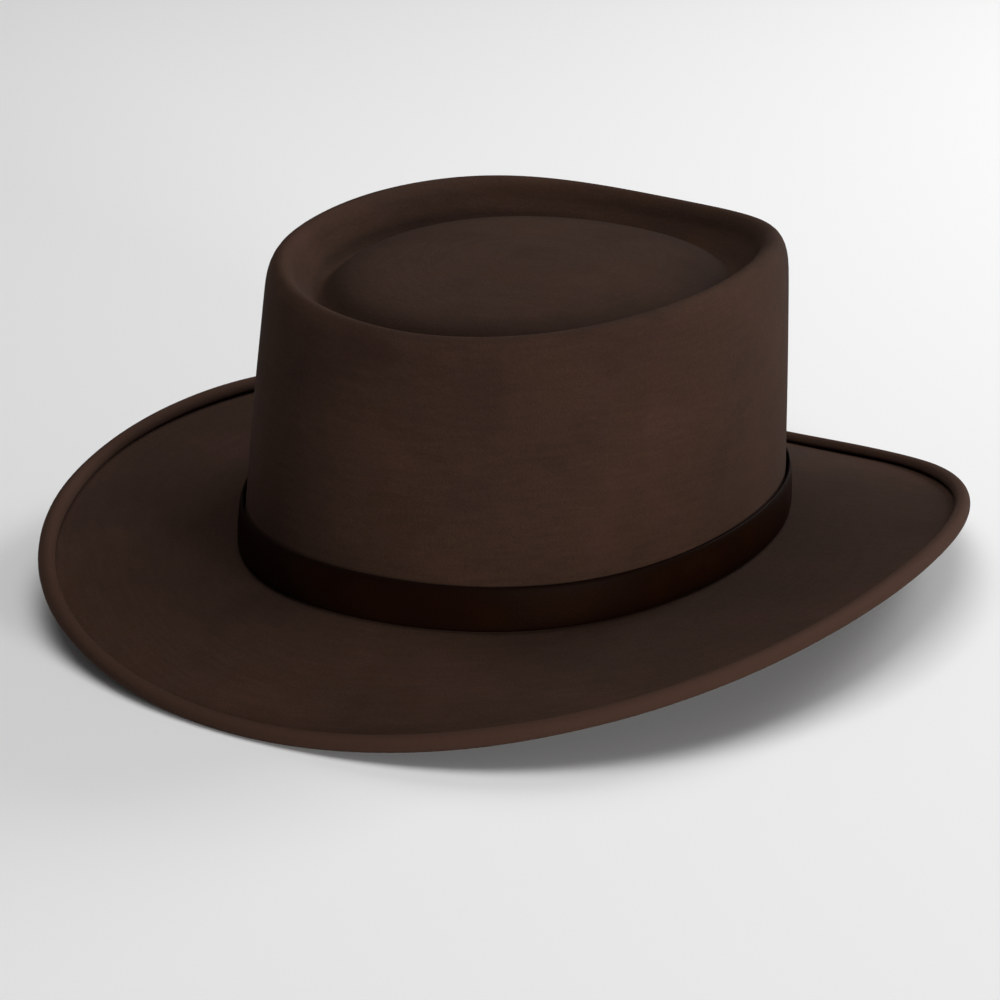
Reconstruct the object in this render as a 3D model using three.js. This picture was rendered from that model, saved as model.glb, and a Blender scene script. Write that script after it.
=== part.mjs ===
// A gambler hat: the felt body, whose crown, brim and curled edge are one blocked piece of felt,
// and the leather band round the foot of the crown. Millimetres, +Z up, front towards -Y.
// The hat rests on its brim at z = 0, with the origin on the floor under the middle of the hat.
import * as THREE from 'three';

// The felt
const feltThickness = 1.8;

// The crown. Its foot is the line where the outside of its wall meets the top of the brim.
const crownLength = 209;
const crownWidth = 177;
const crownHeight = 96.7;
const footHeight = 22;
const footBend = 2.1;
const leanFront = 17.5;
const leanSide = 5.7;
const leanBack = 1.8;
const recessDepth = 17;
const recessSlide = 5;

// The crest's round-over: how far it reaches outward and inward, and how far down on each side
const shoulderReach = 5.5;
const shoulderDrop = 12;
const innerReach = 6;
const innerDrop = 9;

// The brim, measured from the foot of the crown to the outside of the curled edge
const brimWidthEnds = 65;
const brimWidthSides = 62;
const sideLift = 27;
const curlRadius = 3;
const curlGap = 0.4;
const restSink = 0.5;

// The leather band
const bandWidth = 15;
const bandThickness = 1.8;
const bandGap = 0.35;

// How finely the surfaces are stepped
const columns = 64;
const bendSteps = 3;
const brimSteps = 6;
const curlSteps = 8;

// What changes round the hat, at five places from front to back, alike on both sides.
// foot: height of the crown's foot, as a share of footHeight
// crest: height of the crest above the foot, as a share of crownHeight
// crestLong, crestWide: reach of the crest's line, as shares of its half length and half width
// lift: height of the brim's edge, as a share of sideLift
// edgeLong, edgeWide: reach of the brim's edge, as shares of its half length and half width
// slopeIn, slopeOut: rise of the brim for each millimetre outward, at the crown and at the curl
const roundTable = [
  { at: 'front', foot: 0.90, crest: 0.953, crestLong: 1, crestWide: 1.017,
    lift: 0, edgeLong: 1, edgeWide: 1.03, slopeIn: -0.28, slopeOut: -0.31 },
  { at: 'front quarter', foot: 0.845, crest: 1.003, crestLong: 1.04, crestWide: 1.051,
    lift: 0.5, edgeLong: 1.028, edgeWide: 1.052, slopeIn: -0.14, slopeOut: 0.03 },
  { at: 'side', foot: 1, crest: 1, crestLong: 1, crestWide: 1,
    lift: 1, edgeLong: 1, edgeWide: 1, slopeIn: -0.02, slopeOut: 0.27 },
  { at: 'back quarter', foot: 1.03, crest: 0.969, crestLong: 1.04, crestWide: 1.013,
    lift: 0.6, edgeLong: 1.028, edgeWide: 1.004, slopeIn: -0.15, slopeOut: 0.02 },
  { at: 'back', foot: 1.04, crest: 0.919, crestLong: 1, crestWide: 0.983,
    lift: 0, edgeLong: 1, edgeWide: 0.97, slopeIn: -0.33, slopeOut: -0.34 },
];

// The sunken top of the crown, from its middle out to the crest.
// long, wide: reach, as shares of the half length and half width of the crest's line
// slide: how far the ring is moved towards the front, as a share of recessSlide
// depth: how far below the crest, as a share of recessDepth
// follow: 1 where the ring follows the crest's outline and height, 0 where it is a level oval
const topTable = [
  { at: 'middle', long: 0, wide: 0, slide: 0.57, depth: 0.19, follow: 0.2 },
  { at: 'plateau', long: 0.3, wide: 0.31, slide: 0.57, depth: 0.2, follow: 0.2 },
  { at: 'plateau', long: 0.5, wide: 0.52, slide: 0.57, depth: 0.24, follow: 0.2 },
  { at: 'plateau', long: 0.63, wide: 0.65, slide: 0.57, depth: 0.31, follow: 0.2 },
  { at: 'plateau edge', long: 0.71, wide: 0.73, slide: 0.57, depth: 0.385, follow: 0.2 },
  { at: 'plateau edge', long: 0.76, wide: 0.78, slide: 0.5, depth: 0.465, follow: 0.22 },
  { at: 'plateau edge', long: 0.795, wide: 0.81, slide: 0.42, depth: 0.57, follow: 0.25 },
  { at: 'groove', long: 0.825, wide: 0.838, slide: 0.32, depth: 0.71, follow: 0.28 },
  { at: 'groove', long: 0.852, wide: 0.863, slide: 0.22, depth: 0.81, follow: 0.35 },
  { at: 'inner wall', long: 0.88, wide: 0.888, slide: 0.14, depth: 0.77, follow: 0.5 },
  { at: 'inner wall', long: 0.912, wide: 0.914, slide: 0.08, depth: 0.57, follow: 0.75 },
];

// The round-over of the crest, from its inner side over the top to its outer side.
// turn: degrees from level, measured inward or outward
const crestTable = [
  { at: 'inner side', side: 'in', turn: 18 },
  { at: 'inner side', side: 'in', turn: 50 },
  { at: 'ridge', side: 'out', turn: 90 },
  { at: 'shoulder', side: 'out', turn: 60 },
  { at: 'shoulder', side: 'out', turn: 33 },
  { at: 'shoulder', side: 'out', turn: 8 },
];

// The outside wall of the crown, between the shoulder and the foot.
// down: share of the height from the shoulder to the foot
// lean: share of the way out from the shoulder's line to the foot's
const wallTable = [
  { at: 'upper wall', down: 0.25, lean: 0.28 },
  { at: 'middle wall', down: 0.5, lean: 0.55 },
  { at: 'lower wall', down: 0.78, lean: 0.82 },
];

// The band's section, from its upper outer edge round to its upper inner edge.
// up: share of bandWidth up the wall, out: share of bandThickness from the wall
const bandTable = [
  { at: 'upper edge', up: 1, out: 0.4 },
  { at: 'upper face', up: 0.85, out: 0.82 },
  { at: 'face', up: 0.5, out: 1 },
  { at: 'lower face', up: 0.15, out: 0.82 },
  { at: 'lower edge', up: 0, out: 0.45 },
  { at: 'lower back', up: 0.06, out: 0 },
  { at: 'upper back', up: 0.97, out: 0 },
];

// Worked out from the sizes above
const half = feltThickness / 2;
const footHalfLength = crownLength / 2;
const footHalfWidth = crownWidth / 2;
const crestHalfLength = footHalfLength - (leanFront + leanBack) / 2 - shoulderReach;
const crestHalfWidth = footHalfWidth - leanSide - shoulderReach;
const crestShift = (leanFront - leanBack) / 2;
const edgeHalfLength = footHalfLength + brimWidthEnds - curlRadius;
const edgeHalfWidth = footHalfWidth + brimWidthSides - curlRadius;
const curlBend = curlRadius - half;
const up = new THREE.Vector3(0, 0, 1);

// A smooth value round the hat through the five places of a column: t = 0 is the front.
function around(column, t) {
  const last = roundTable.length - 1;
  let value = 0;
  for (let wave = 0; wave <= last; wave += 1) {
    let size = 0;
    roundTable.forEach((row, place) => {
      const weight = place === 0 || place === last ? 0.5 : 1;
      size += weight * row[column] * Math.cos((wave * place * Math.PI) / last);
    });
    const weight = wave === 0 || wave === last ? 0.5 : 1;
    value += (2 / last) * weight * size * Math.cos(wave * t);
  }
  return value;
}

// A point of an oval, and the level direction square to the oval there
function oval(t, halfLength, halfWidth, shift = 0) {
  return new THREE.Vector3(halfWidth * Math.sin(t), shift - halfLength * Math.cos(t), 0);
}

function outward(t) {
  return new THREE.Vector3(footHalfLength * Math.sin(t), -footHalfWidth * Math.cos(t), 0).normalize();
}

// The lines that the felt follows, each at the middle of its thickness
function crestLine(t, row = { long: 1, wide: 1, slide: 0, follow: 1 }) {
  const long = THREE.MathUtils.lerp(1, around('crestLong', t), row.follow) * row.long;
  const wide = THREE.MathUtils.lerp(1, around('crestWide', t), row.follow) * row.wide;
  const shift = crestShift - row.slide * recessSlide;
  return oval(t, crestHalfLength * long, crestHalfWidth * wide, shift);
}

function footTop(t) {
  return footHeight * around('foot', t);
}

function crestTop(t) {
  return footTop(t) + crownHeight * around('crest', t);
}

function footCorner(t) {
  const point = oval(t, footHalfLength, footHalfWidth).addScaledVector(outward(t), -half);
  return point.setZ(footTop(t) - half);
}

function edgeLine(t) {
  const long = edgeHalfLength * around('edgeLong', t);
  const wide = edgeHalfWidth * around('edgeWide', t);
  return oval(t, long, wide).setZ(curlRadius - restSink + sideLift * around('lift', t));
}

function brimDirection(t) {
  return edgeLine(t).sub(footCorner(t)).setZ(0).normalize();
}

const meanCrest = (() => {
  let sum = 0;
  for (let column = 0; column < columns; column += 1) {
    sum += crestTop((2 * Math.PI * column) / columns) / columns;
  }
  return sum;
})();

// The stretches of the felt's middle line at one place round the hat
function topStretch(t) {
  return topTable.map((row) => {
    const level = THREE.MathUtils.lerp(meanCrest, crestTop(t), row.follow);
    return crestLine(t, row).setZ(level - half - row.depth * recessDepth);
  });
}

function crestStretch(t) {
  const ridge = crestLine(t).setZ(crestTop(t));
  return crestTable.map((row) => {
    const angle = THREE.MathUtils.degToRad(row.turn);
    const outside = row.side === 'out';
    const reach = outside ? shoulderReach - half : half - innerReach;
    const drop = outside ? shoulderDrop : innerDrop;
    return ridge.clone()
      .addScaledVector(outward(t), reach * Math.cos(angle))
      .addScaledVector(up, (drop - half) * Math.sin(angle) - drop);
  });
}

function shoulderPoint(t) {
  return crestLine(t).addScaledVector(outward(t), shoulderReach - half).setZ(crestTop(t) - shoulderDrop);
}

function wallPoint(t, row) {
  const shoulder = shoulderPoint(t);
  const foot = footCorner(t);
  const point = shoulder.clone().lerp(foot, row.lean);
  return point.setZ(THREE.MathUtils.lerp(shoulder.z, foot.z, row.down));
}

function bendStretch(t) {
  const corner = footCorner(t);
  const wall = wallPoint(t, wallTable[wallTable.length - 1]).sub(corner).normalize();
  const brim = brimDirection(t).addScaledVector(up, around('slopeIn', t)).normalize();
  const bend = new THREE.QuadraticBezierCurve3(
    corner.clone().addScaledVector(wall, footBend),
    corner,
    corner.clone().addScaledVector(brim, footBend),
  );
  return bend.getPoints(bendSteps);
}

function brimStretch(t, start) {
  const tilt = Math.atan(around('slopeOut', t));
  const end = edgeLine(t)
    .addScaledVector(brimDirection(t), curlBend * Math.sin(tilt))
    .addScaledVector(up, -curlBend * Math.cos(tilt));
  const reach = Math.hypot(end.x - start.x, end.y - start.y);
  const third = reach / 3;
  const brim = new THREE.CubicBezierCurve3(
    start,
    start.clone().addScaledVector(brimDirection(t), third).addScaledVector(up, third * around('slopeIn', t)),
    end.clone().addScaledVector(brimDirection(t), -third).addScaledVector(up, -third * around('slopeOut', t)),
    end,
  );
  return brim.getPoints(brimSteps).slice(1, -1);
}

// The curl turns up, over and back until its free edge lies curlGap above the brim.
const curlSweep = 1.5 * Math.PI + Math.asin((curlBend - half - curlGap) / curlRadius);

function curlStretch(t) {
  const centre = edgeLine(t);
  const tilt = Math.atan(around('slopeOut', t));
  const points = [];
  for (let step = 0; step <= curlSteps; step += 1) {
    const angle = tilt - Math.PI / 2 + (curlSweep * step) / curlSteps;
    points.push(centre.clone()
      .addScaledVector(brimDirection(t), curlBend * Math.cos(angle))
      .addScaledVector(up, curlBend * Math.sin(angle)));
  }
  return points;
}

function middleLine(t) {
  const bend = bendStretch(t);
  return [
    ...topStretch(t).slice(1),
    ...crestStretch(t),
    ...wallTable.map((row) => wallPoint(t, row)),
    ...bend,
    ...brimStretch(t, bend[bend.length - 1]),
    ...curlStretch(t),
  ];
}

// A closed mesh from rings of points. Rings run from one pole to the other, or join end to end.
function ringMesh(rings, poles, name, material) {
  const positions = [];
  const triangles = [];
  const count = rings[0].length;
  rings.forEach((ring) => ring.forEach((point) => positions.push(point.x, point.y, point.z)));
  const at = (ring, place) => (ring % rings.length) * count + (place % count);
  const joined = poles ? rings.length - 1 : rings.length;
  for (let ring = 0; ring < joined; ring += 1) {
    for (let place = 0; place < count; place += 1) {
      triangles.push(at(ring, place), at(ring + 1, place), at(ring + 1, place + 1));
      triangles.push(at(ring, place), at(ring + 1, place + 1), at(ring, place + 1));
    }
  }
  if (poles) {
    const first = positions.length / 3;
    poles.forEach((pole) => positions.push(pole.x, pole.y, pole.z));
    const lastRing = rings.length - 1;
    for (let place = 0; place < count; place += 1) {
      triangles.push(first, at(0, place), at(0, place + 1));
      triangles.push(at(lastRing, place), first + 1, at(lastRing, place + 1));
    }
  }
  const geometry = new THREE.BufferGeometry();
  geometry.setAttribute('position', new THREE.Float32BufferAttribute(positions, 3));
  geometry.setIndex(triangles);
  geometry.computeVertexNormals();
  const mesh = new THREE.Mesh(geometry, material);
  mesh.name = name;
  return mesh;
}

const places = Array.from({ length: columns }, (_, column) => (2 * Math.PI * column) / columns);

// The felt body: its middle line is swept round the hat and thickened to both sides.
function feltBody() {
  const lines = places.map((t) => middleLine(t));
  const rows = lines[0].length;
  const topRings = [];
  const underRings = [];
  for (let row = 0; row < rows; row += 1) {
    const topRing = [];
    const underRing = [];
    for (let column = 0; column < columns; column += 1) {
      const line = lines[column];
      const along = line[Math.min(row + 1, rows - 1)].clone().sub(line[Math.max(row - 1, 0)]);
      const next = lines[(column + 1) % columns][row];
      const previous = lines[(column + columns - 1) % columns][row];
      const normal = along.cross(next.clone().sub(previous)).normalize();
      topRing.push(line[row].clone().addScaledVector(normal, half));
      const under = line[row].clone().addScaledVector(normal, -half);
      underRing.push(under.setZ(Math.max(under.z, 0)));
    }
    topRings.push(topRing);
    underRings.unshift(underRing);
  }
  const middle = topStretch(0)[0];
  const poles = [middle.clone().addScaledVector(up, half), middle.clone().addScaledVector(up, -half)];
  const felt = new THREE.MeshStandardMaterial({ color: 0x3a2a24, roughness: 0.95, metalness: 0 });
  return ringMesh([...topRings, ...underRings], poles, 'felt_body', felt);
}

// The band lies against the wall and its lower edge follows the slope of the brim.
function hatBand() {
  const rings = bandTable.map((row) => places.map((t) => {
    const foot = oval(t, footHalfLength, footHalfWidth).setZ(footTop(t));
    const wall = wallPoint(t, wallTable[wallTable.length - 1]).sub(footCorner(t)).normalize();
    const out = bandGap + row.out * bandThickness;
    const drop = around('slopeIn', t) * out * (1 - row.up);
    return foot.addScaledVector(up, bandGap + drop)
      .addScaledVector(wall, row.up * bandWidth)
      .addScaledVector(outward(t), out);
  }));
  const leather = new THREE.MeshStandardMaterial({ color: 0x1c0d07, roughness: 0.5, metalness: 0 });
  return ringMesh(rings, null, 'hat_band', leather);
}

const hat = new THREE.Group();
hat.add(feltBody());
hat.add(hatBand());

export default hat;
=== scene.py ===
# A gambler hat: a brown fur felt with a sunken crown and a curled brim, and its leather band.
# Lengths are in metres. +Z is up, and the front of the hat looks towards -Y.
import math

import bpy
from mathutils import Matrix, Vector, noise
from mathutils.geometry import interpolate_bezier


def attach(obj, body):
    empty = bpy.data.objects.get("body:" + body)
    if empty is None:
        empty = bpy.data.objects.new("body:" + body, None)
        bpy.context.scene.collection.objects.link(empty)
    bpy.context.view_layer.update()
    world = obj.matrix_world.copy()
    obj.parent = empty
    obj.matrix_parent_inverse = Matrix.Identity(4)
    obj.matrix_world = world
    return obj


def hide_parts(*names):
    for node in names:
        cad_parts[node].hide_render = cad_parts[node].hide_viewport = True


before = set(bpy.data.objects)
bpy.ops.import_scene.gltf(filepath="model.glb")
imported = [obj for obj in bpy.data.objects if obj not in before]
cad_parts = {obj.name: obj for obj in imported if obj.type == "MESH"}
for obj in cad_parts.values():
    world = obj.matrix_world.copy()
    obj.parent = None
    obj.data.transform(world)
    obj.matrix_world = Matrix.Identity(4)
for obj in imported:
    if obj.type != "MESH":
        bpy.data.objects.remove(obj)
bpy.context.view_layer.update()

# The viewpoint
# The camera stands in front of the wearer's left side and looks down at about 20 degrees, from far
# enough away to keep the brim's oval as slim as the photograph shows it.
CAMERA_TURN = 32.75
CAMERA_ELEVATION = 20.55
CAMERA_ROLL = 0.53
CAMERA_AIM = (0.0011, -0.0123, 0.0310)
CAMERA_DISTANCE = 1.522
CAMERA_LENS_MM = 160.4

bpy.ops.object.camera_add()
camera = bpy.context.object
camera.data.lens = CAMERA_LENS_MM
camera.matrix_world = (
    Matrix.Translation(CAMERA_AIM)
    @ Matrix.Rotation(math.radians(CAMERA_TURN), 4, "Z")
    @ Matrix.Rotation(math.radians(90 - CAMERA_ELEVATION), 4, "X")
    @ Matrix.Rotation(math.radians(CAMERA_ROLL), 4, "Z")
    @ Matrix.Translation((0, 0, CAMERA_DISTANCE))
)
bpy.context.scene.camera = camera

# The felt body
# Crown, brim and curled edge are one piece of fur felt, 1.8 mm thick. It is steamed and pulled over
# an oval block, its top is sunk by hand, and its brim is pressed to a saddle and rolled at its
# edge.
FELT_THICKNESS = 0.0018
CROWN_LENGTH = 0.209
CROWN_WIDTH = 0.177
CROWN_HEIGHT = 0.0967
FOOT_HEIGHT = 0.022
FOOT_BEND = 0.0021
LEAN_FRONT = 0.0175
LEAN_SIDE = 0.0057
LEAN_BACK = 0.0018
WALL_BOW = 0.05
RECESS_DEPTH = 0.017
RECESS_SLIDE = 0.005
SHOULDER_REACH = 0.0055
SHOULDER_DROP = 0.012
INNER_REACH = 0.006
INNER_DROP = 0.009
BRIM_WIDTH_ENDS = 0.065
BRIM_WIDTH_SIDES = 0.062
SIDE_LIFT = 0.027
CURL_RADIUS = 0.003
CURL_GAP = 0.0004
REST_SINK = 0.0005

# How finely the felt is stepped, round the hat and along its section
PLACES = 128
CREST_STEPS = 8
WALL_STEPS = 8
BEND_STEPS = 3
BRIM_STEPS = 9
CURL_STEPS = 10

# What changes round the hat: each row has its front, front quarter, side, back quarter and back.
# The slopes, of the brim at its foot and at its edge, are rise over run, and the rest are shares.
ROUND = {
    "foot": (0.90, 0.845, 1, 1.03, 1.04),
    "crest": (0.953, 1.003, 1, 0.969, 0.919),
    "crest_long": (1, 1.04, 1, 1.04, 1),
    "crest_wide": (1.017, 1.051, 1, 1.013, 0.983),
    "lift": (0, 0.5, 1, 0.6, 0),
    "edge_long": (1, 1.028, 1, 1.028, 1),
    "edge_wide": (1.03, 1.052, 1, 1.004, 0.97),
    "slope_in": (-0.28, -0.14, -0.02, -0.15, -0.33),
    "slope_out": (-0.31, 0.03, 0.27, 0.02, -0.34),
}

# The sunken top, from its plateau out to the crest. long and wide are shares of the crest's half
# length and half width, and slide and depth are shares of the recess's. follow is 1 where a ring
# has the crest's outline and height, and the last column is painted shade: below 1 it darkens the
# felt at the plateau's edge and in the groove, where the sunken top lies in shade, and a little
# above 1 it lightens the inner wall.
TOP = [
    # The plateau
    {"long": 0.3, "wide": 0.31, "slide": 0.57, "depth": 0.2, "follow": 0.2, "painted_shading": 1},
    {"long": 0.5, "wide": 0.52, "slide": 0.57, "depth": 0.24, "follow": 0.2, "painted_shading": 1},
    {"long": 0.63, "wide": 0.65, "slide": 0.57, "depth": 0.31, "follow": 0.2, "painted_shading": 0.95},
    # The plateau's edge
    {"long": 0.71, "wide": 0.73, "slide": 0.57, "depth": 0.385, "follow": 0.2, "painted_shading": 0.8},
    {"long": 0.76, "wide": 0.78, "slide": 0.5, "depth": 0.465, "follow": 0.22, "painted_shading": 0.7},
    {"long": 0.795, "wide": 0.81, "slide": 0.42, "depth": 0.57, "follow": 0.25, "painted_shading": 0.7},
    # The groove
    {"long": 0.825, "wide": 0.838, "slide": 0.32, "depth": 0.71, "follow": 0.28, "painted_shading": 0.9},
    {"long": 0.852, "wide": 0.863, "slide": 0.22, "depth": 0.81, "follow": 0.35, "painted_shading": 0.97},
    # The inner wall
    {"long": 0.88, "wide": 0.888, "slide": 0.14, "depth": 0.77, "follow": 0.5, "painted_shading": 1.02},
    {"long": 0.912, "wide": 0.914, "slide": 0.08, "depth": 0.57, "follow": 0.75, "painted_shading": 1.02},
]

half = FELT_THICKNESS / 2
foot_long = CROWN_LENGTH / 2
foot_wide = CROWN_WIDTH / 2
crest_long = foot_long - (LEAN_FRONT + LEAN_BACK) / 2 - SHOULDER_REACH
crest_wide = foot_wide - LEAN_SIDE - SHOULDER_REACH
crest_shift = (LEAN_FRONT - LEAN_BACK) / 2
edge_long = foot_long + BRIM_WIDTH_ENDS - CURL_RADIUS
edge_wide = foot_wide + BRIM_WIDTH_SIDES - CURL_RADIUS
curl_bend = CURL_RADIUS - half
UP = Vector((0, 0, 1))


def around(name, t):
    """A smooth value round the hat, as a sum of cosines through the five places of a row.

    t is the angle round the hat, and it is 0 at the front.
    """
    row = ROUND[name]
    last = len(row) - 1
    value = 0
    for wave in range(last + 1):
        size = 0
        for place in range(last + 1):
            share = 0.5 if place in (0, last) else 1
            size += share * row[place] * math.cos(wave * place * math.pi / last)
        value += 2 / last * (0.5 if wave in (0, last) else 1) * size * math.cos(wave * t)
    return value


def oval(t, long, wide, shift=0.0):
    """A point of an oval, whose length runs from front to back."""
    return Vector((wide * math.sin(t), shift - long * math.cos(t), 0))


def outward(t):
    """The level direction square to the crown's wall."""
    return Vector((foot_long * math.sin(t), -foot_wide * math.cos(t), 0)).normalized()


def crest_line(t, long=1.0, wide=1.0, slide=0.0, follow=1.0):
    reach = crest_long * long * (1 + follow * (around("crest_long", t) - 1))
    breadth = crest_wide * wide * (1 + follow * (around("crest_wide", t) - 1))
    return oval(t, reach, breadth, crest_shift - slide * RECESS_SLIDE)


def foot_top(t):
    return FOOT_HEIGHT * around("foot", t)


def crest_top(t):
    return foot_top(t) + CROWN_HEIGHT * around("crest", t)


def foot_corner(t):
    """Where the middles of wall and brim would meet, were the foot not rounded."""
    return oval(t, foot_long, foot_wide) - outward(t) * half + UP * (foot_top(t) - half)


def edge_line(t):
    """The middle of the brim's curl."""
    line = oval(t, edge_long * around("edge_long", t), edge_wide * around("edge_wide", t))
    return line + UP * (CURL_RADIUS - REST_SINK + SIDE_LIFT * around("lift", t))


def brim_direction(t):
    way = edge_line(t) - foot_corner(t)
    return Vector((way.x, way.y, 0)).normalized()


def wall_point(t, down):
    """A point of the crown's wall, which bows out a little between shoulder and foot."""
    reach = SHOULDER_REACH - half
    shoulder = crest_line(t) + outward(t) * reach + UP * (crest_top(t) - SHOULDER_DROP)
    foot = foot_corner(t)
    point = shoulder.lerp(foot, down + WALL_BOW * math.sin(math.pi * down))
    point.z = shoulder.z + (foot.z - shoulder.z) * down
    return point


turns = [2 * math.pi * place / PLACES for place in range(PLACES)]
mean_crest = sum(crest_top(t) for t in turns) / PLACES


def top_points(t):
    points = []
    for row in TOP:
        level = mean_crest + (crest_top(t) - mean_crest) * row["follow"]
        point = crest_line(t, row["long"], row["wide"], row["slide"], row["follow"])
        points.append(point + UP * (level - half - row["depth"] * RECESS_DEPTH))
    return points


# The round-over starts 14 degrees above level on its inner side and ends 8 degrees above it on the
# outer side.
CREST_START = math.radians(14)
CREST_SWEEP = math.radians(158)


def crest_points(t):
    """The round-over from the sunken top's inner wall over the ridge to the shoulder."""
    ridge = crest_line(t) + UP * crest_top(t)
    points = []
    for step in range(CREST_STEPS):
        angle = CREST_START + CREST_SWEEP * step / (CREST_STEPS - 1)
        inside = angle < math.pi / 2
        reach = INNER_REACH - half if inside else SHOULDER_REACH - half
        drop = INNER_DROP if inside else SHOULDER_DROP
        points.append(
            ridge
            - outward(t) * reach * math.cos(angle)
            + UP * ((drop - half) * math.sin(angle) - drop)
        )
    return points


# Places down the wall: where its slope at the foot is taken, and where its last ring lies.
WALL_LOW = 0.8
WALL_END = 0.95


def wall_direction(t):
    """The direction up the wall at its foot."""
    return (wall_point(t, WALL_LOW) - foot_corner(t)).normalized()


def bend_points(t):
    """The small round where the wall turns out into the brim."""
    corner = foot_corner(t)
    brim = (brim_direction(t) + UP * around("slope_in", t)).normalized()
    start = corner + wall_direction(t) * FOOT_BEND
    end = corner + brim * FOOT_BEND
    handle_in = start.lerp(corner, 2 / 3)
    handle_out = end.lerp(corner, 2 / 3)
    return interpolate_bezier(start, handle_in, handle_out, end, BEND_STEPS + 1)


def brim_points(t, start):
    tilt = math.atan(around("slope_out", t))
    direction = brim_direction(t)
    end = edge_line(t) + direction * curl_bend * math.sin(tilt) - UP * curl_bend * math.cos(tilt)
    third = math.hypot(end.x - start.x, end.y - start.y) / 3
    handle_in = start + (direction + UP * around("slope_in", t)) * third
    handle_out = end - (direction + UP * around("slope_out", t)) * third
    return interpolate_bezier(start, handle_in, handle_out, end, BRIM_STEPS + 1)[1:-1]


# The curl turns up, over and back until its free edge lies just above the brim.
curl_sweep = 1.5 * math.pi + math.asin((curl_bend - half - CURL_GAP) / CURL_RADIUS)


def curl_points(t):
    start = math.atan(around("slope_out", t)) - math.pi / 2
    points = []
    for step in range(CURL_STEPS + 1):
        angle = start + curl_sweep * step / CURL_STEPS
        points.append(
            edge_line(t)
            + brim_direction(t) * curl_bend * math.cos(angle)
            + UP * curl_bend * math.sin(angle)
        )
    return points


def felt_section(t):
    """The middle line of the felt at one place round the hat, from plateau to curled edge."""
    crown = top_points(t) + crest_points(t)
    wall = [wall_point(t, step / WALL_STEPS * WALL_END) for step in range(1, WALL_STEPS + 1)]
    bend = bend_points(t)
    return crown + wall + bend + brim_points(t, bend[-1]) + curl_points(t)


def deselect():
    for other in bpy.context.selected_objects:
        other.select_set(False)


# The step from ring to ring of the plain tube that a piece starts as.
RING_DROP = 0.001


def rings_of(piece_name, count):
    """A circle extruded into as many rings as a section has points. They are shaped afterwards."""
    deselect()
    bpy.ops.mesh.primitive_circle_add(vertices=PLACES, radius=crest_wide)
    piece = bpy.context.object
    piece.name = piece_name
    bpy.ops.object.mode_set(mode="EDIT")
    for _ in range(count - 1):
        bpy.ops.mesh.extrude_region_move(TRANSFORM_OT_translate={"value": (0, 0, -RING_DROP)})
    bpy.ops.object.mode_set(mode="OBJECT")
    return piece


def apply_modifiers(piece):
    for modifier in list(piece.modifiers):
        bpy.ops.object.modifier_apply(modifier=modifier.name)


felt = rings_of("felt_body_blocked", len(felt_section(0)))
start_turns = [math.atan2(vertex.co.x, -vertex.co.y) for vertex in felt.data.vertices[:PLACES]]
sections = [felt_section(t) for t in start_turns]
for vertex in felt.data.vertices:
    ring, place = divmod(vertex.index, PLACES)
    vertex.co = sections[place][ring]

# The plateau is closed with a grid, so that no point of the felt is pinched.
bpy.ops.object.mode_set(mode="EDIT")
bpy.ops.mesh.select_all(action="DESELECT")
bpy.ops.object.mode_set(mode="OBJECT")
for vertex in felt.data.vertices[:PLACES]:
    vertex.select = True
for side in felt.data.edges:
    side.select = all(felt.data.vertices[end].select for end in side.vertices)
bpy.ops.object.mode_set(mode="EDIT")
bpy.ops.mesh.fill_grid(span=PLACES // 4)
bpy.ops.mesh.select_all(action="SELECT")
bpy.ops.mesh.normals_make_consistent(inside=False)
bpy.ops.object.mode_set(mode="OBJECT")

# Felt that was shaped by hand is never quite even: slow waves, a third of a millimetre deep.
UNEVEN_SPAN = 0.045
UNEVEN_DEPTH = 0.0003
normals = [vertex.normal.copy() for vertex in felt.data.vertices]
for vertex, normal in zip(felt.data.vertices, normals):
    vertex.co += normal * UNEVEN_DEPTH * noise.noise(vertex.co / UNEVEN_SPAN)

# The nap is brushed round the hat. The attribute nap holds each point's place along and across it,
# and wear is 1 on the outside of the curl, which hands and tables rub. A third attribute holds
# painted shade and light: the share by which the felt's colour is darkened where shade falls and
# lightened where light falls. The nap has the crown's radius, so its marks grow longer out on the
# brim.
NAP_RADIUS = 0.09
nap_centre = crest_shift - TOP[0]["slide"] * RECESS_SLIDE
nap_start = TOP[0]["long"]


def nap_across(share):
    """The distance across the nap inside the first ring, which grows slowly from the middle."""
    return NAP_RADIUS * share ** 2 / (2 * nap_start)


felt.data.attributes.new("nap", "FLOAT_VECTOR", "POINT")
felt.data.attributes.new("wear", "FLOAT", "POINT")
# Painted shade and light, kept on the felt's points, which scales the felt's colour.
felt.data.attributes.new("painted_shading", "FLOAT", "POINT")
nap = felt.data.attributes["nap"]
wear = felt.data.attributes["wear"]
painted_shading = felt.data.attributes["painted_shading"]
wall_start = len(TOP) + CREST_STEPS
foot_start = wall_start + WALL_STEPS
curl_start = len(sections[0]) - CURL_STEPS - 1

# Painted shade and light: the felt is painted darker at the foot of the wall next to the band and
# on the brim next to the crown, where shade falls, and the brim's raised sides are painted darker
# than its front and back, as the light leaves them in shade. Towards the curl the brim is painted
# lighter, a painted highlight. Down the wall the painted shade grows with the fourth power of the
# way.
PAINTED_SHADE_BY_BAND = 0.45
PAINTED_SHADE_POWER = 4
PAINTED_SHADE_AT_FOOT = 0.74
PAINTED_LIGHT_AT_EDGE = 1.12
PAINTED_SHADE_AT_SIDES = 0.28


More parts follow.
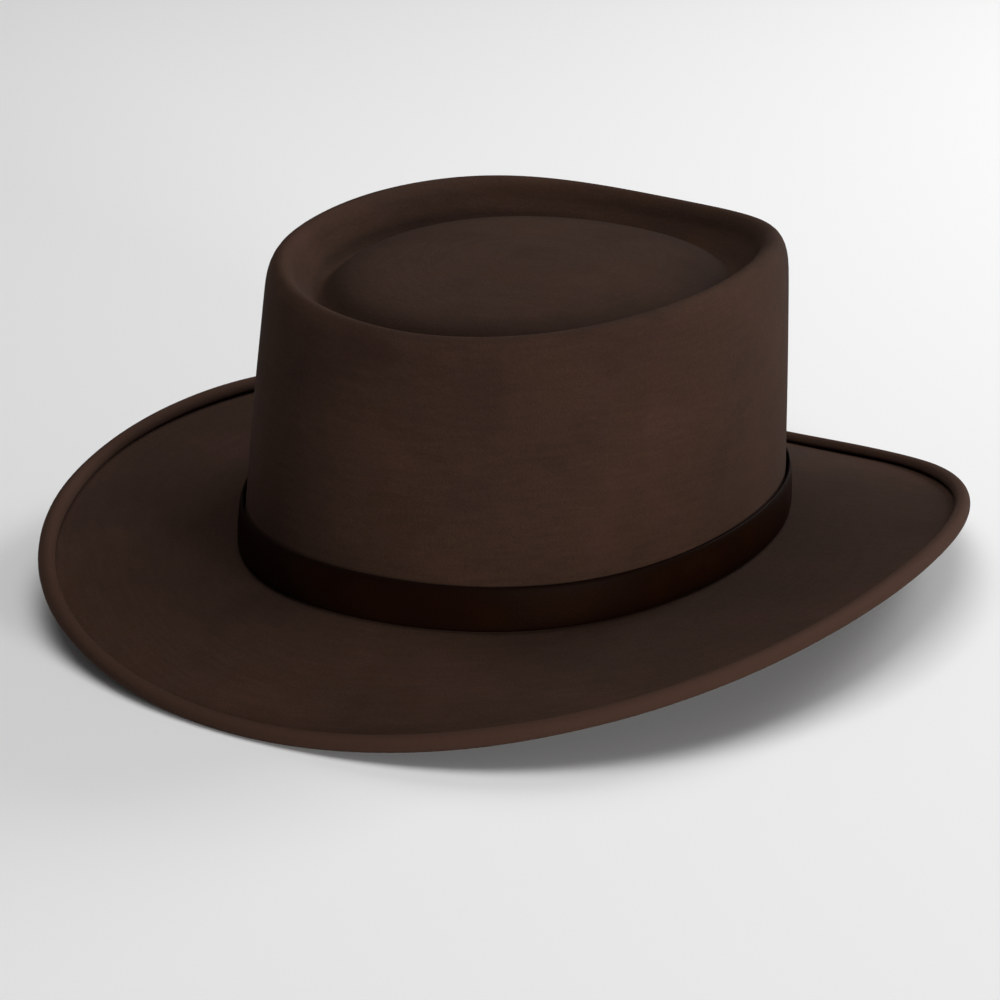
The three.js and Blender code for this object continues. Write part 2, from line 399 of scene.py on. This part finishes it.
def painted_shading_of_ring(ring, t):
    """The painted shade and light of a ring, from the plateau over the wall and brim to the curl.
    """
    if ring < len(TOP):
        return TOP[ring]["painted_shading"]
    if ring < foot_start:
        down = max(0, (ring - wall_start) / WALL_STEPS)
        return 1 - PAINTED_SHADE_BY_BAND * down ** PAINTED_SHADE_POWER
    if ring < curl_start:
        share = (ring - foot_start) / (curl_start - foot_start)
        painted_brim_shading = PAINTED_SHADE_AT_FOOT + (PAINTED_LIGHT_AT_EDGE - PAINTED_SHADE_AT_FOOT) * share
        return painted_brim_shading * (1 - PAINTED_SHADE_AT_SIDES * math.sin(t) ** 2)
    return 1


for place, section in enumerate(sections):
    t = start_turns[place]
    across = nap_across(nap_start)
    for ring, point in enumerate(section):
        if ring:
            across += (point - section[ring - 1]).length
        radius = NAP_RADIUS * (TOP[ring]["long"] if ring < len(TOP) else 1.0)
        index = ring * PLACES + place
        nap.data[index].vector = (radius * math.sin(t), -radius * math.cos(t), across)
        painted_shading.data[index].value = painted_shading_of_ring(ring, t)
        curl_step = (ring - curl_start) / CURL_STEPS
        wear.data[index].value = max(0.0, math.sin(math.pi * curl_step)) if curl_step > 0 else 0.0
for vertex in felt.data.vertices[len(sections[0]) * PLACES:]:
    right = vertex.co.x / crest_wide * TOP[0]["long"] / TOP[0]["wide"]
    back = (vertex.co.y - nap_centre) / crest_long
    nap.data[vertex.index].vector = (
        NAP_RADIUS * right, NAP_RADIUS * back, nap_across(math.hypot(right, back)))
    painted_shading.data[vertex.index].value = TOP[0]["painted_shading"]

thicken = felt.modifiers.new("thicken", "SOLIDIFY")
thicken.thickness = FELT_THICKNESS
thicken.offset = 0
soften = felt.modifiers.new("soften", "SUBSURF")
soften.levels = 1
soften.render_levels = 1
apply_modifiers(felt)

# The floor presses the felt flat where the brim rests on it.
for vertex in felt.data.vertices:
    vertex.co.z = max(vertex.co.z, 0)
bpy.ops.object.shade_smooth()


def linear(code):
    """An sRGB hex colour as linear red, green, blue and alpha."""
    shares = [int(code[place:place + 2], 16) / 255 for place in (1, 3, 5)]
    return [s / 12.92 if s <= 0.04045 else ((s + 0.055) / 1.055) ** 2.4 for s in shares] + [1]


def add(tree, kind, inputs=None, stops=(), **settings):
    """Adds a shader node with its settings, its inputs' values or links, and its ramp's stops."""
    node = tree.nodes.new("ShaderNode" + kind)
    for name, value in settings.items():
        setattr(node, name, value)
    for name, value in (inputs or {}).items():
        if isinstance(value, bpy.types.NodeSocket):
            tree.links.new(value, node.inputs[name])
        else:
            node.inputs[name].default_value = value
    for _ in stops[2:]:
        node.color_ramp.elements.new(0.5)
    for number, (position, code) in enumerate(stops):
        node.color_ramp.elements[number].position = position
        node.color_ramp.elements[number].color = linear(code)
    return node


def new_material(name):
    material = bpy.data.materials.new(name)
    material.use_nodes = True
    material.node_tree.nodes.clear()
    return material


# Fur felt: matted rabbit fur, dyed brown in the wool and sanded while it turns on the block. It is
# matt, with clouds of redder and greener brown, fine marks round the hat and a soft sheen of
# fibres. The fibres are 0.02 mm thick, too fine to show, so the nap is drawn 0.7 mm wide. The
# clouds of dye are 45 mm across, the marks of the brush 12 mm long round the hat and 1.7 mm wide,
# and the soft dents 6 mm across.
CLOUD_SPAN = 0.045
MARK_SPAN = 0.012
MARKS_NARROWED = 7
FIBRE_SPAN = 0.0007
DENT_SPAN = 0.006
felt_material = new_material("fur_felt_brown")
tree = felt_material.node_tree
spot = add(tree, "TexCoord").outputs["Object"]
lay = add(tree, "Attribute", attribute_name="nap").outputs["Vector"]
worn = add(tree, "Attribute", attribute_name="wear").outputs["Fac"]
# Painted shade and light, read from the felt's points, which darkens or lightens its colour.
painted_shading_factor = add(tree, "Attribute", attribute_name="painted_shading").outputs["Fac"]
clouds = add(tree, "TexNoise", {
    "Vector": spot, "Scale": 1 / CLOUD_SPAN, "Detail": 3, "Roughness": 0.5})
brown = add(tree, "ValToRGB", {"Fac": clouds.outputs["Fac"]}, stops=[
    (0.30, "#2d1e18"), (0.44, "#32221b"), (0.56, "#33231a"), (0.70, "#38251e")])
along_nap = add(tree, "Mapping", {"Vector": lay, "Scale": (1, 1, MARKS_NARROWED)})
marks = add(tree, "TexNoise", {
    "Vector": along_nap.outputs["Vector"], "Scale": 1 / MARK_SPAN, "Detail": 4, "Roughness": 0.6})
fibres = add(tree, "TexNoise", {
    "Vector": spot, "Scale": 1 / FIBRE_SPAN, "Detail": 2, "Roughness": 0.7})
shade = add(tree, "MapRange", {
    "Value": marks.outputs["Fac"],
    "From Min": 0.3, "From Max": 0.7, "To Min": 0.88, "To Max": 1.1})
fleck = add(tree, "MapRange", {
    "Value": fibres.outputs["Fac"],
    "From Min": 0.25, "From Max": 0.75, "To Min": 0.8, "To Max": 1.2})
mottle = add(tree, "Math", {
    0: shade.outputs["Result"], 1: fleck.outputs["Result"]}, operation="MULTIPLY")
# The brush marks and fibres are multiplied by the painted shade and light.
marks_and_painted_shading = add(tree, "Math", {0: mottle.outputs["Value"], 1: painted_shading_factor}, operation="MULTIPLY")
toned = add(tree, "VectorMath", {
    0: brown.outputs["Color"], "Scale": marks_and_painted_shading.outputs["Value"]}, operation="SCALE")
# The base colour: the worn curl mixed into the brown that carries the painted shade and light.
worn_and_painted_colour = add(tree, "Mix", {
    "Factor": worn, 6: toned.outputs["Vector"], 7: linear("#3a2820")}, data_type="RGBA")
soft = add(tree, "TexNoise", {
    "Vector": spot, "Scale": 1 / DENT_SPAN, "Detail": 2, "Roughness": 0.5})
dents = add(tree, "Bump", {"Height": soft.outputs["Fac"], "Strength": 0.35, "Distance": 0.0006})
fuzz = add(tree, "Bump", {
    "Height": fibres.outputs["Fac"], "Strength": 0.6, "Distance": 0.00025,
    "Normal": dents.outputs["Normal"]})
rough = add(tree, "MapRange", {"Value": marks.outputs["Fac"], "To Min": 0.86, "To Max": 1.0})
felt_surface = add(tree, "BsdfPrincipled", {
    "Base Color": worn_and_painted_colour.outputs[2], "Roughness": rough.outputs["Result"],
    "Normal": fuzz.outputs["Normal"], "Specular IOR Level": 0.08, "IOR": 1.5,
    "Sheen Weight": 0.03, "Sheen Roughness": 0.5, "Sheen Tint": linear("#a5806a")})
add(tree, "OutputMaterial", {"Surface": felt_surface.outputs["BSDF"]})
felt.data.materials.append(felt_material)

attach(felt, "root")
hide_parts("felt_body")

# The hat band
# A strip of vegetable tanned cowhide, 15 mm wide and 1.8 mm thick, whose ends are joined out of
# sight and whose edges are burnished round. It is pushed down the crown until it meets the brim.
BAND_WIDTH = 0.015
BAND_THICKNESS = 0.0018
BAND_GAP = 0.00035
# The section, from the upper edge over the domed face and round the back. up is the share of the
# width up the wall, out the share of the thickness from the wall, edge the share of burnish.
BAND = [
    # The upper edge
    {"up": 1, "out": 0.35, "edge": 1},
    {"up": 0.975, "out": 0.66, "edge": 1},
    # The domed face
    {"up": 0.91, "out": 0.8, "edge": 0.45},
    {"up": 0.78, "out": 0.92, "edge": 0.1},
    {"up": 0.5, "out": 1, "edge": 0},
    {"up": 0.22, "out": 0.92, "edge": 0.1},
    {"up": 0.09, "out": 0.8, "edge": 0.45},
    # The lower edge
    {"up": 0.025, "out": 0.66, "edge": 1},
    {"up": 0, "out": 0.35, "edge": 1},
    # The back
    {"up": 0.05, "out": 0, "edge": 1},
    {"up": 0.5, "out": 0, "edge": 0.5},
    {"up": 0.95, "out": 0, "edge": 1},
]


def band_point(t, row):
    foot = oval(t, foot_long, foot_wide) + UP * foot_top(t)
    out = BAND_GAP + row["out"] * BAND_THICKNESS
    drop = around("slope_in", t) * out * (1 - row["up"])
    up_wall = wall_direction(t) * row["up"] * BAND_WIDTH
    return foot + UP * (BAND_GAP + drop) + up_wall + outward(t) * out


band = rings_of("hat_band_leather", len(BAND))
band.data.attributes.new("edge", "FLOAT", "POINT")
band.data.attributes.new("hide", "FLOAT_VECTOR", "POINT")
edge_share = band.data.attributes["edge"]
hide = band.data.attributes["hide"]
for vertex in band.data.vertices:
    ring, place = divmod(vertex.index, PLACES)
    t = start_turns[place]
    vertex.co = band_point(t, BAND[ring])
    edge_share.data[vertex.index].value = BAND[ring]["edge"]
    hide.data[vertex.index].vector = (
        foot_wide * math.sin(t), -foot_wide * math.cos(t), BAND[ring]["up"] * BAND_WIDTH)
bpy.ops.object.mode_set(mode="EDIT")
bpy.ops.mesh.select_all(action="DESELECT")
bpy.ops.mesh.select_non_manifold()
bpy.ops.mesh.bridge_edge_loops()
bpy.ops.mesh.select_all(action="SELECT")
bpy.ops.mesh.normals_make_consistent(inside=False)
bpy.ops.object.mode_set(mode="OBJECT")
burnish = band.modifiers.new("burnish", "SUBSURF")
burnish.levels = 1
burnish.render_levels = 1
apply_modifiers(band)
bpy.ops.object.shade_smooth()

# Cowhide: tanned with bark, dyed through and waxed. Its grain is a net of small soft pebbles, about
# 0.9 mm across, the face has a low gloss, and the burnished edges are darker. The dye is uneven
# over 20 mm, and the net of pebbles wanders by 0.6 mm over 4 mm.
DYE_SPAN = 0.02
PEBBLE_SPAN = 0.0009
WANDER_SPAN = 0.004
WANDER_REACH = 0.0006
leather = new_material("cowhide_dark_brown")
tree = leather.node_tree
hide_place = add(tree, "Attribute", attribute_name="hide").outputs["Vector"]
at_edge = add(tree, "Attribute", attribute_name="edge").outputs["Fac"]
dye = add(tree, "TexNoise", {
    "Vector": hide_place, "Scale": 1 / DYE_SPAN, "Detail": 3, "Roughness": 0.5})
dyed = add(tree, "ValToRGB", {"Fac": dye.outputs["Fac"]}, stops=[
    (0.32, "#120602"), (0.50, "#150702"), (0.68, "#190902")])
burnt = add(tree, "Mix", {
    "Factor": at_edge, 6: dyed.outputs["Color"], 7: linear("#0f0603")}, data_type="RGBA")
wander = add(tree, "TexNoise", {"Vector": hide_place, "Scale": 1 / WANDER_SPAN, "Detail": 2})
bent = add(tree, "MixRGB", {
    "Fac": WANDER_REACH, "Color1": hide_place, "Color2": wander.outputs["Color"]},
    blend_type="ADD")
pebbles = add(tree, "TexVoronoi", {
    "Vector": bent.outputs["Color"], "Scale": 1 / PEBBLE_SPAN, "Smoothness": 0.6},
    feature="SMOOTH_F1")
grain = add(tree, "Bump", {
    "Height": pebbles.outputs["Distance"], "Strength": 0.5, "Distance": 0.00012}, invert=True)
gloss = add(tree, "MapRange", {"Value": dye.outputs["Fac"], "To Min": 0.46, "To Max": 0.62})
leather_surface = add(tree, "BsdfPrincipled", {
    "Base Color": burnt.outputs[2], "Roughness": gloss.outputs["Result"],
    "Normal": grain.outputs["Normal"], "Specular IOR Level": 0.015, "IOR": 1.5})
add(tree, "OutputMaterial", {"Surface": leather_surface.outputs["BSDF"]})
band.data.materials.append(leather)

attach(band, "root")
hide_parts("hat_band")

# The floor and the light
# A plain pale floor under soft studio light: a wide screen overhead, which draws the shadow under
# the raised brim, a low one at the camera's right, a weak one behind, and pale walls all round.
FLOOR_SIZE = 12.0
deselect()
bpy.ops.mesh.primitive_plane_add(size=FLOOR_SIZE)
floor = bpy.context.object
floor.name = "floor"
paint = new_material("floor_paint_pale")
tree = paint.node_tree
paint_surface = add(tree, "BsdfPrincipled", {"Base Color": linear("#eaeaea"), "Roughness": 0.9})
add(tree, "OutputMaterial", {"Surface": paint_surface.outputs["BSDF"]})
floor.data.materials.append(paint)

LIGHTS = [
    {"at": (-0.04, 0, 1.8), "size": 1.4, "watts": 20.5},
    {"at": (1.8, -0.8, 0.26), "size": 0.5, "watts": 33},
    {"at": (0.35, 1.3, 0.8), "size": 0.6, "watts": 12},
]
for lamp in LIGHTS:
    bpy.ops.object.light_add(type="AREA", location=lamp["at"])
    light = bpy.context.object
    light.data.size = lamp["size"]
    light.data.energy = lamp["watts"]
    light.rotation_euler = Vector(lamp["at"]).to_track_quat("Z", "Y").to_euler()

WALLS_STRENGTH = 0.13
walls = bpy.data.worlds.new("studio_walls")
walls.use_nodes = True
background = walls.node_tree.nodes["Background"]
background.inputs["Color"].default_value = linear("#f2f2f2")
background.inputs["Strength"].default_value = WALLS_STRENGTH
bpy.context.scene.world = walls
bpy.context.scene.view_settings.view_transform = "Standard"
